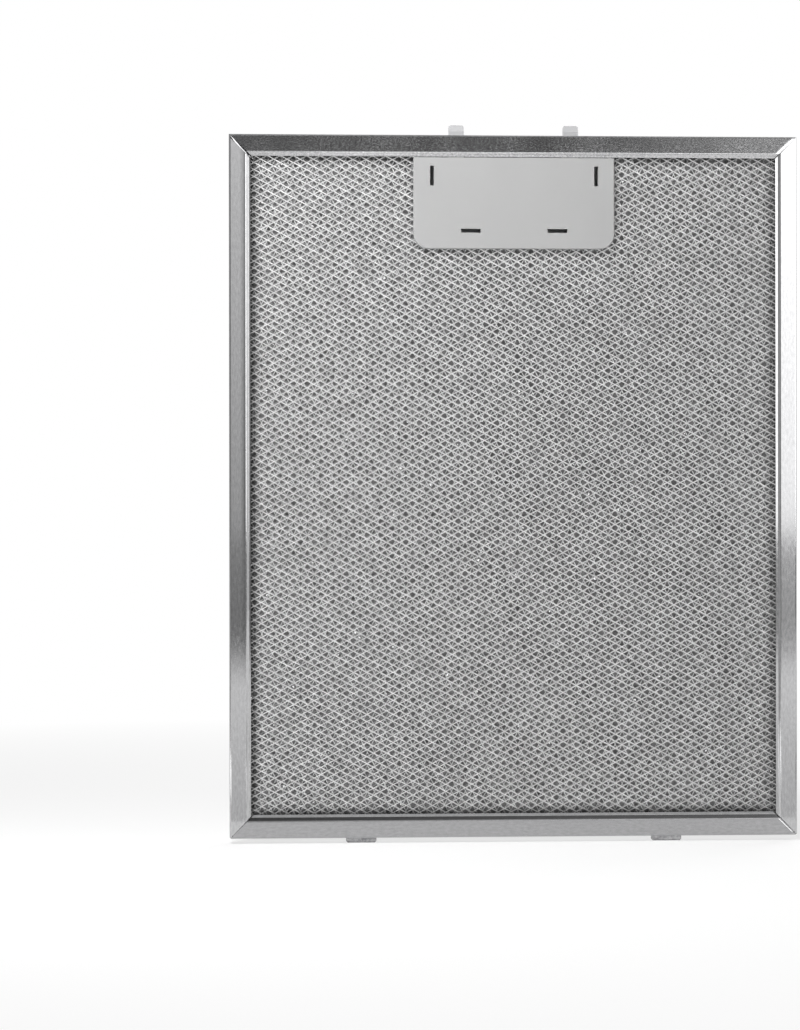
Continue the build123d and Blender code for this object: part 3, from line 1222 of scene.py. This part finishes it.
    def lay_strands(self) -> None:
        """Turn the rows into flat leaning strands and give them their finish."""
        tree, given = self.tree, self.given
        kept = add_node(
            tree,
            "GeometryNodeDeleteGeometry",
            {"Geometry": self.zigzag(), "Selection": self.outside()},
            domain="POINT",
            mode="ALL",
        ).outputs["Geometry"]
        curves = add_node(tree, "GeometryNodeMeshToCurve", {"Mesh": kept}).outputs["Curve"]
        upright = add_node(
            tree, "GeometryNodeSetCurveNormal", {"Curve": curves}, mode="Z_UP"
        ).outputs["Curve"]
        random = add_node(
            tree,
            "FunctionNodeRandomValue",
            {2: -1.0, 3: 1.0, "Seed": given["Seed"]},
            data_type="FLOAT",
        ).outputs[1]
        lean = add_node(
            tree,
            "ShaderNodeMath",
            {0: random, 1: given["Lean Wander"], 2: given["Lean"]},
            operation="MULTIPLY_ADD",
        ).outputs[0]
        tilted = add_node(
            tree, "GeometryNodeSetCurveTilt", {"Curve": upright, "Tilt": lean}
        ).outputs["Curve"]
        profile = add_node(
            tree,
            "GeometryNodeCurvePrimitiveQuadrilateral",
            {"Width": given["Strand Thickness"], "Height": given["Strand Width"]},
        ).outputs["Curve"]
        swept = add_node(
            tree,
            "GeometryNodeCurveToMesh",
            {"Curve": tilted, "Profile Curve": profile, "Fill Caps": True},
        ).outputs["Mesh"]
        turn = add_node(tree, "ShaderNodeCombineXYZ", {"Y": given["Turn"]}).outputs[0]
        placed = add_node(
            tree,
            "GeometryNodeTransform",
            {"Geometry": swept, "Translation": given["Place"], "Rotation": turn},
        ).outputs["Geometry"]
        flat = add_node(
            tree, "GeometryNodeSetShadeSmooth", {"Geometry": placed, "Shade Smooth": False}
        ).outputs["Geometry"]
        real = add_node(tree, "GeometryNodeRealizeInstances", {"Geometry": flat}).outputs[0]
        dressed = add_node(
            tree, "GeometryNodeSetMaterial", {"Geometry": real, "Material": given["Finish"]}
        ).outputs["Geometry"]
        add_node(tree, "NodeGroupOutput", {0: dressed})

    def layer(self, name: str, values: dict[str, Any]) -> bpy.types.Object:
        """Run the tree with one layer's sizes and keep the result as a plain mesh.

        Args:
            name: Name of the piece.
            values: Input name to its value, lengths in metres and angles in radians.

        Returns:
            The new object, with no modifier.
        """
        piece = new_object(name, bpy.data.meshes.new(name))
        modifier = piece.modifiers.new("expanded_mesh", "NODES")
        modifier.node_group = self.tree
        for key, value in values.items():
            modifier[self.sockets[key].identifier] = value
        depsgraph = bpy.context.evaluated_depsgraph_get()
        evaluated = piece.evaluated_get(depsgraph)
        mesh = bpy.data.meshes.new_from_object(evaluated, depsgraph=depsgraph)
        piece.modifiers.remove(modifier)
        piece.data = mesh
        mesh.name = name
        return piece


@dataclass(frozen=True)
class Layer:
    """One layer of expanded foil in the pack, lengths in mm."""

    node: str
    foil: Foil
    way: Way
    short_way: float
    strand: float
    lean_deg: float
    turn_deg: float
    rise: float = 0.0  # how far the layer is laid above the middle of the pack
    thickness: float = 0.16
    long_way: float = 6.0


@dataclass(frozen=True)
class FilterPack:
    """Nine layers of expanded aluminium, each turned against the next."""

    half_width: float = 128.1
    low_edge: float = 1.9
    high_edge: float = 318.1
    notch_half_width: float = 41.9
    notch_floor: float = 272.1
    wander: float = 0.025
    lean_wander_deg: float = 5.0
    face_thickness: float = 0.2
    spare: float = 8.0  # how far the rows run past the pack before they are cut to it

    def layers(self) -> list[Layer]:
        """List every layer: the motor side, the cook's side, then those between.

        Returns:
            The nine layers.
        """
        across, upright = Way.ACROSS, Way.UPRIGHT
        thick = self.face_thickness
        rows = [
            Layer("back_face_mesh", Foil.FACE, across, 3.2, 0.5, 28, 0.0, thickness=thick),
            Layer("front_face_mesh", Foil.FACE, across, 3.2, 0.5, -28, 0.3, thickness=thick),
        ]
        # Foil, way, short way, strand, lean, turn and rise. The three middle layers have
        # wider strands than real foil, so that no light shines straight through the pack.
        inner = (
            (Foil.SECOND, upright, 3.2, 0.46, -24, 0.0, 0.3),
            (Foil.THIRD, across, 3.2, 0.55, 20, 0.3, 0.2),
            (Foil.INNER, upright, 3.6, 1.9, 8, 3.5),
            (Foil.INNER, across, 3.6, 2.3, 8, 9.0),
            (Foil.INNER, upright, 3.6, 1.9, 8, -6.0),
            (Foil.THIRD, across, 3.2, 0.55, 20, -0.3, 0.2),
            (Foil.SECOND, upright, 3.2, 0.46, -24, 0.0, 0.3),
        )
        rows += [Layer(f"inner_mesh_{k}", *sizes) for k, sizes in enumerate(inner, start=1)]
        return rows

    def values(self, layer: Layer, seed: int, finish: bpy.types.Material) -> dict[str, Any]:
        """Work out the inputs of the tree for a layer.

        Args:
            layer: The layer.
            seed: Seed for its random values.
            finish: Its material.

        Returns:
            Input name to value, in metres and radians.
        """
        low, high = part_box(layer.node)
        turn = layer.turn_deg + (90 if layer.way is Way.UPRIGHT else 0)
        middle = (self.low_edge + self.high_edge) / 2
        reach = (self.high_edge - self.low_edge) / 2
        long_reach, cross_reach = self.half_width, reach
        if layer.way is Way.UPRIGHT:
            long_reach, cross_reach = cross_reach, long_reach
        half_pitch, row_gap = layer.long_way / 2, layer.short_way / 2
        points = 2 * math.ceil((long_reach + self.spare) / half_pitch)
        rows = 2 * math.ceil((cross_reach + self.spare) / row_gap)
        height = middle + layer.rise
        notch = self.notch_floor + reach - height
        return {
            "Points": points,
            "Rows": rows,
            "Seed": seed,
            "First Point": Vector(((1 - points) / 2 * half_pitch, 0, 0)) * MM,
            "Point Step": Vector((half_pitch, 0, 0)) * MM,
            "First Row": Vector((0, 0, (1 - rows) / 2 * row_gap)) * MM,
            "Row Step": Vector((0, 0, row_gap)) * MM,
            "Swing": row_gap / 2 * MM,
            "Wander": self.wander * MM,
            "Turn": math.radians(turn),
            "Pack Middle": Vector((0, 0, -layer.rise)) * MM,
            "Pack Half Size": Vector((self.half_width, reach, reach)) * MM,
            "Notch Middle": Vector((0, 0, notch)) * MM,
            "Notch Half Size": Vector((self.notch_half_width, reach, reach)) * MM,
            "Strand Width": layer.strand * MM,
            "Strand Thickness": layer.thickness * MM,
            "Lean": math.radians(layer.lean_deg),
            "Lean Wander": math.radians(self.lean_wander_deg),
            "Place": Vector((0, (low.y + high.y) / 2, height * MM)),
            "Finish": finish,
        }

    def build(self, tree: ExpandedMesh) -> None:
        """Make every layer.

        Args:
            tree: The shared Geometry Nodes tree.
        """
        # Each look is dark, light, metal and rim, the share kept in the painted rim shade; deeper
        # layers have darker colours, as painted shade.
        finishes = {
            foil: SlitAluminium(f"slit_aluminium_{foil.value}", *look).material()
            for foil, look in (
                (Foil.FACE, ("#CACACA", "#EAEAEA", 0.4, 0.5)),
                (Foil.SECOND, ("#B4B4B4", "#DEDEDE", 0.25, 0.2)),
                (Foil.THIRD, ("#8E8E8E", "#BABABA", 0.25, 0.2)),
                (Foil.INNER, ("#6C6C6C", "#949494", 0.25, 0.2)),
            )
        }
        for number, layer in enumerate(self.layers()):
            name = layer.node.replace("mesh", "strands")
            values = self.values(layer, SEED + number, finishes[layer.foil])
            slot = "mesh_aluminium" if layer.foil is Foil.FACE else "foil_aluminium"
            finish_piece(tree.layer(name, values), slot, layer.node)


@dataclass(frozen=True)
class Handle:
    """Moulded handle with its sprung latch."""

    spring_offset: float = 33.3
    seat: float = 282.0
    spring_length: float = 14.0
    spring_radius: float = 2.0
    wire_radius: float = 0.175
    turns: int = 6
    turn_points: int = 20
    even_rise: float = 0.06  # share of the height gained all along the wire, closed ends as well
    travel: float = 5.0

    def spring(self, side: int, material: bpy.types.Material) -> bpy.types.Object:
        """Round-wire compression spring with closed end coils.

        Args:
            side: -1 for the left one, 1 for the right.
            material: Its finish.

        Returns:
            The new object.
        """
        name = f"coil_spring_{'left' if side < 0 else 'right'}"
        curve = bpy.data.curves.new(name, "CURVE")
        curve.dimensions = "3D"
        curve.bevel_depth = self.wire_radius * MM
        curve.bevel_resolution = 2
        curve.use_fill_caps = True
        steps = self.turns * self.turn_points
        spline = curve.splines.new("POLY")
        spline.points.add(steps)
        free = self.spring_length - 2 * self.wire_radius
        even, dead = self.even_rise, 1 / self.turns
        for k in range(steps + 1):
            share = k / steps
            angle = 2 * math.pi * self.turns * share
            rise = min(1.0, max(0.0, (share - dead / 2) / (1 - dead)))
            height = free * (even * share + (1 - even) * rise)
            z = self.seat + self.wire_radius + height
            x = side * self.spring_offset + self.spring_radius * math.cos(angle)
            y = self.spring_radius * math.sin(angle)
            spline.points[k].co = (x * MM, y * MM, z * MM, 1)
        holder = bpy.data.objects.new(name, curve)
        bpy.context.scene.collection.objects.link(holder)
        evaluated = holder.evaluated_get(bpy.context.evaluated_depsgraph_get())
        mesh = bpy.data.meshes.new_from_object(evaluated)
        bpy.data.objects.remove(holder)
        mesh.materials.clear()
        mesh.materials.append(material)
        mesh.shade_smooth()
        return new_object(name, mesh)

    def build(self) -> None:
        """Dress the mouldings and make the springs."""
        plate = MouldedPlastic("moulded_abs_plate", "#A0A0A0", "#9E9E9E").material()
        housing = MouldedPlastic("moulded_abs_housing", "#BABBBC", "#B6B7B8").material()
        slider = MouldedPlastic(
            "moulded_abs_latch", "#AAAAAB", "#A6A6A8", roughness=0.36
        ).material()
        dress("handle_back_plate", plate)
        dress("handle_housing", housing)
        dress("latch_slider", slider)
        steel = DrawnSteel("drawn_spring_steel").material()
        for side in (-1, 1):
            spring = self.spring(side, steel)
            which = "left" if side < 0 else "right"
            finish_piece(spring, "spring_steel", f"latch_spring_{which}")
            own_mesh(spring)


@dataclass(frozen=True)
class Lugs:
    """Two pressed lugs on the lower edge: duller and more uneven than the rolled strip."""

    def build(self) -> None:
        """Dress both lugs in dull pressed aluminium."""
        pressed = RolledAluminium(
            "pressed_aluminium_lug",
            Way.ACROSS,
            dark="#7E7E80",
            light="#BEBEBF",
            mottle_mm=1.0,
            draw=1.2,
            smooth=0.3,
            dull=0.42,
            grain_depth_mm=0.02,
        ).material()
        for side in ("left", "right"):
            dress(f"lug_{side}", pressed)


@dataclass(frozen=True)
class Card:
    """Plain studio card that only gloss sees, shaded evenly between the tones of its corners."""

    name: str
    stand: Stand
    place: tuple[float, float, float]
    size: tuple[float, float]
    low: tuple[float, float]  # tones at the start and end of its lower side
    high: tuple[float, float] | None = None  # the same for its upper side, if it differs

    def build(self) -> None:
        """Stand the card in the scene."""
        material, tree, output = new_material(f"card_{self.name}")
        over = add_node(tree, "ShaderNodeUVMap").outputs["UV"]
        share = add_node(tree, "ShaderNodeSeparateXYZ", {0: over}).outputs
        low, high = (
            add_node(
                tree, "ShaderNodeMix", {0: share["X"], 2: start, 3: stop}, data_type="FLOAT"
            ).outputs[0]
            for start, stop in (self.low, self.high or self.low)
        )
        tone = add_node(
            tree, "ShaderNodeMix", {0: share["Y"], 2: low, 3: high}, data_type="FLOAT"
        ).outputs[0]
        glow = add_node(tree, "ShaderNodeEmission", {"Color": WHITE, "Strength": tone})
        tree.links.new(glow.outputs[0], output.inputs["Surface"])
        mesh = bpy.data.meshes.new(f"card_{self.name}")
        w, h = self.size[0] / 2, self.size[1] / 2
        corners = [Vector((x, y, 0)) for x, y in ((-w, -h), (w, -h), (w, h), (-w, h))]
        turn = Euler([math.radians(angle) for angle in self.stand.value]).to_matrix()
        points = [turn @ corner + Vector(self.place) for corner in corners]
        mesh.from_pydata(points, [], [(0, 1, 2, 3)])
        layer = mesh.uv_layers.new(name="over_the_card")
        layer.uv.foreach_set("vector", [0, 0, 1, 0, 1, 1, 0, 1])
        mesh.materials.append(material)
        card = new_object(f"card_{self.name}", mesh)
        card.visible_camera = False
        card.visible_diffuse = False
        card.visible_shadow = False
        card.visible_transmission = False


@dataclass(frozen=True)
class Lamp:
    """Soft square lamp aimed at a point; the cards stand in for it in gloss."""

    name: str
    place: tuple[float, float, float]
    aim: tuple[float, float, float]
    size: float
    power: float

    def build(self) -> None:
        """Hang the lamp."""
        light = bpy.data.lights.new(self.name, "AREA")
        light.shape = "SQUARE"
        light.size = self.size
        light.energy = self.power
        lamp = bpy.data.objects.new(self.name, light)
        bpy.context.scene.collection.objects.link(lamp)
        lamp.location = self.place
        lamp.rotation_mode = "QUATERNION"
        lamp.rotation_quaternion = (Vector(self.aim) - Vector(self.place)).to_track_quat("-Z", "Y")
        lamp.visible_glossy = False
        lamp.visible_camera = False


@dataclass(frozen=True)
class Studio:
    """Pale floor, white surround, soft light and the camera."""

    floor_height: float = -0.0024
    floor_reach: float = 40.0
    ambient: float = 0.12
    near_reach: float = 0.15  # up to here the floor shows shadows best, in metres
    far_reach: float = 0.9  # from here on it is plain white
    near_white: float = 0.62  # share of plain white that it has near the object
    camera_place: tuple[float, float, float] = (-0.1461, -1.5, 0.1487)
    yaw_deg: float = 3.586
    pitch_deg: float = -0.07
    roll_deg: float = -0.072
    lens_mm: float = 115.1
    sensor_mm: float = 36.0

    def seen_directly(self, tree: bpy.types.NodeTree) -> bpy.types.NodeSocket:
        """Pick out the rays that see the white background.

        Args:
            tree: Material or world tree.

        Returns:
            1 for camera, glossy and transmission rays.
        """
        rays = add_node(tree, "ShaderNodeLightPath").outputs
        seen: bpy.types.NodeSocket = rays["Is Camera Ray"]
        for kind in ("Is Glossy Ray", "Is Transmission Ray"):
            seen = add_node(
                tree, "ShaderNodeMath", {0: seen, 1: rays[kind]}, operation="MAXIMUM"
            ).outputs[0]
        return seen

    def surround(self) -> None:
        """White to the eye and in gloss, softer as a light."""
        world = bpy.data.worlds.new("studio_surround")
        bpy.context.scene.world = world
        world.use_nodes = True
        tree = world.node_tree
        tree.nodes.clear()
        level = add_node(
            tree,
            "ShaderNodeMapRange",
            {"Value": self.seen_directly(tree), "To Min": self.ambient, "To Max": 1.0},
        ).outputs["Result"]
        back = add_node(tree, "ShaderNodeBackground", {"Color": WHITE, "Strength": level})
        add_node(tree, "ShaderNodeOutputWorld", {"Surface": back.outputs[0]})

    def floor(self) -> None:
        """Pale floor that keeps a faint shadow."""
        material, tree, output = new_material("pale_floor")
        matt = add_node(tree, "ShaderNodeBsdfDiffuse", {"Color": WHITE}).outputs[0]
        white = add_node(
            tree, "ShaderNodeEmission", {"Color": WHITE, "Strength": 1.0}
        ).outputs[0]
        place = add_node(tree, "ShaderNodeTexCoord").outputs["Object"]
        away = add_node(
            tree, "ShaderNodeVectorMath", {0: place}, operation="LENGTH"
        ).outputs["Value"]
        share = add_node(
            tree,
            "ShaderNodeMapRange",
            {
                "Value": away,
                "From Min": self.near_reach,
                "From Max": self.far_reach,
                "To Min": self.near_white,
                "To Max": 1.0,
            },
        ).outputs["Result"]
        shown = add_node(
            tree, "ShaderNodeMath", {0: self.seen_directly(tree), 1: share}, operation="MULTIPLY"
        ).outputs[0]
        mixed = add_node(tree, "ShaderNodeMixShader", {0: shown, 1: matt, 2: white})
        tree.links.new(mixed.outputs[0], output.inputs["Surface"])
        mesh = bpy.data.meshes.new("pale_floor")
        r, z = self.floor_reach, self.floor_height
        corners = [(-r, -r, z), (r, -r, z), (r, r, z), (-r, r, z)]
        mesh.from_pydata(corners, [], [(0, 1, 2, 3)])
        mesh.materials.append(material)
        new_object("pale_floor", mesh)

    def camera(self) -> None:
        """Camera square to the back of the cassette, a little to its left."""
        data = bpy.data.cameras.new("studio_camera")
        data.lens = self.lens_mm
        data.sensor_width = self.sensor_mm
        camera = bpy.data.objects.new("studio_camera", data)
        bpy.context.scene.collection.objects.link(camera)
        camera.location = self.camera_place
        camera.rotation_euler = (
            math.radians(90 + self.pitch_deg),
            math.radians(-self.roll_deg),
            math.radians(-self.yaw_deg),
        )
        bpy.context.scene.camera = camera

    def cards(self) -> tuple[Card, ...]:
        """List what the rails mirror.

        Returns:
            Every card, lengths in metres and tones as strengths of white.
        """
        flat, facing, aside = Stand.FLAT, Stand.FACING, Stand.SIDEWAYS
        return (
            Card("room", facing, (0.15, -1.9, 0.6), (6.0, 4.0), (0.13, 0.13)),
            Card("top_end", facing, (0.41, -1.55, 0.8), (0.38, 0.36), (0.13, 0.55)),
            Card("gap", facing, (0.15, -1.55, 0.07), (0.8, 0.2), (0.083, 0.51), (0.353, 0.78)),
            Card("window", facing, (0.675, -1.5, 0.3625), (1.85, 0.475), (0.16, 4.2), (0.57, 6.07)),
            Card("ledge", facing, (0.15, -1.49, 0.0085), (2.2, 0.021), (0.33, 1.42)),
            Card("table", flat, (0.15, -0.8, -0.002), (2.4, 1.38), (1.1, 1.1), (0.74, 0.74)),
            Card("near_left", flat, (-0.36, -0.32, -0.0015), (0.4, 0.26), (3.4, 3.4), (1.7, 1.7)),
            Card("near_middle", flat, (0.03, -0.32, -0.0015), (0.2, 0.26), (3.0, 0.7), (1.2, 0.4)),
            Card("near_right", flat, (0.45, -0.32, -0.0015), (0.4, 0.26), (0.3, 0.3)),
            Card("right_wall", aside, (0.9, -0.22, 0.27), (0.56, 0.4), (0.7, 0.7), (1.7, 1.7)),
            Card("right_glow", aside, (0.9, -0.35, 0.71), (0.82, 0.48), (2.8, 2.8)),
            Card("left_flag", aside, (-0.7, -0.4, 0.45), (1.6, 0.9), (0.5, 0.5), (0.32, 0.32)),
            Card("upper_flag", flat, (0.06, -0.24, 0.98), (0.5, 0.62), (0.08, 0.26)),
            Card("skylight", flat, (0.68, -0.25, 0.96), (0.56, 0.6), (3.0, 3.0)),
            Card("sky", flat, (0.0, -0.83, 1.0), (1.6, 0.54), (0.4, 0.1), (2.4, 0.5)),
        )

    def build(self) -> None:
        """Set the scene's light, floor and camera."""
        bpy.context.scene.view_settings.view_transform = "Standard"
        self.surround()
        self.floor()
        for card in self.cards():
            card.build()
        for lamp in (
            Lamp("key", (-0.25, -0.33, 0.58), (-0.02, 0, 0.2), size=0.25, power=4.0),
            Lamp("side", (-0.42, -0.2, 0.03), (0, 0, 0.1), size=0.15, power=0.6),
            Lamp("fill", (0.5, -0.6, 0.55), (0, 0, 0.2), size=0.4, power=0.9),
            Lamp("rear", (0.4, 0.6, 0.5), (0, 0, 0.15), size=0.5, power=3.0),
        ):
            lamp.build()
        self.camera()
        LOG.info("studio: floor, surround, cards, lamps and camera")


def main() -> None:
    """Build every sub-assembly around the CAD frame, then the studio."""
    logging.basicConfig(level=logging.INFO, format="%(name)s %(message)s")
    FilterFrame().build()
    FilterPack().build(ExpandedMesh())
    Handle().build()
    Lugs().build()
    Studio().build()


if __name__ == "__main__":
    main()
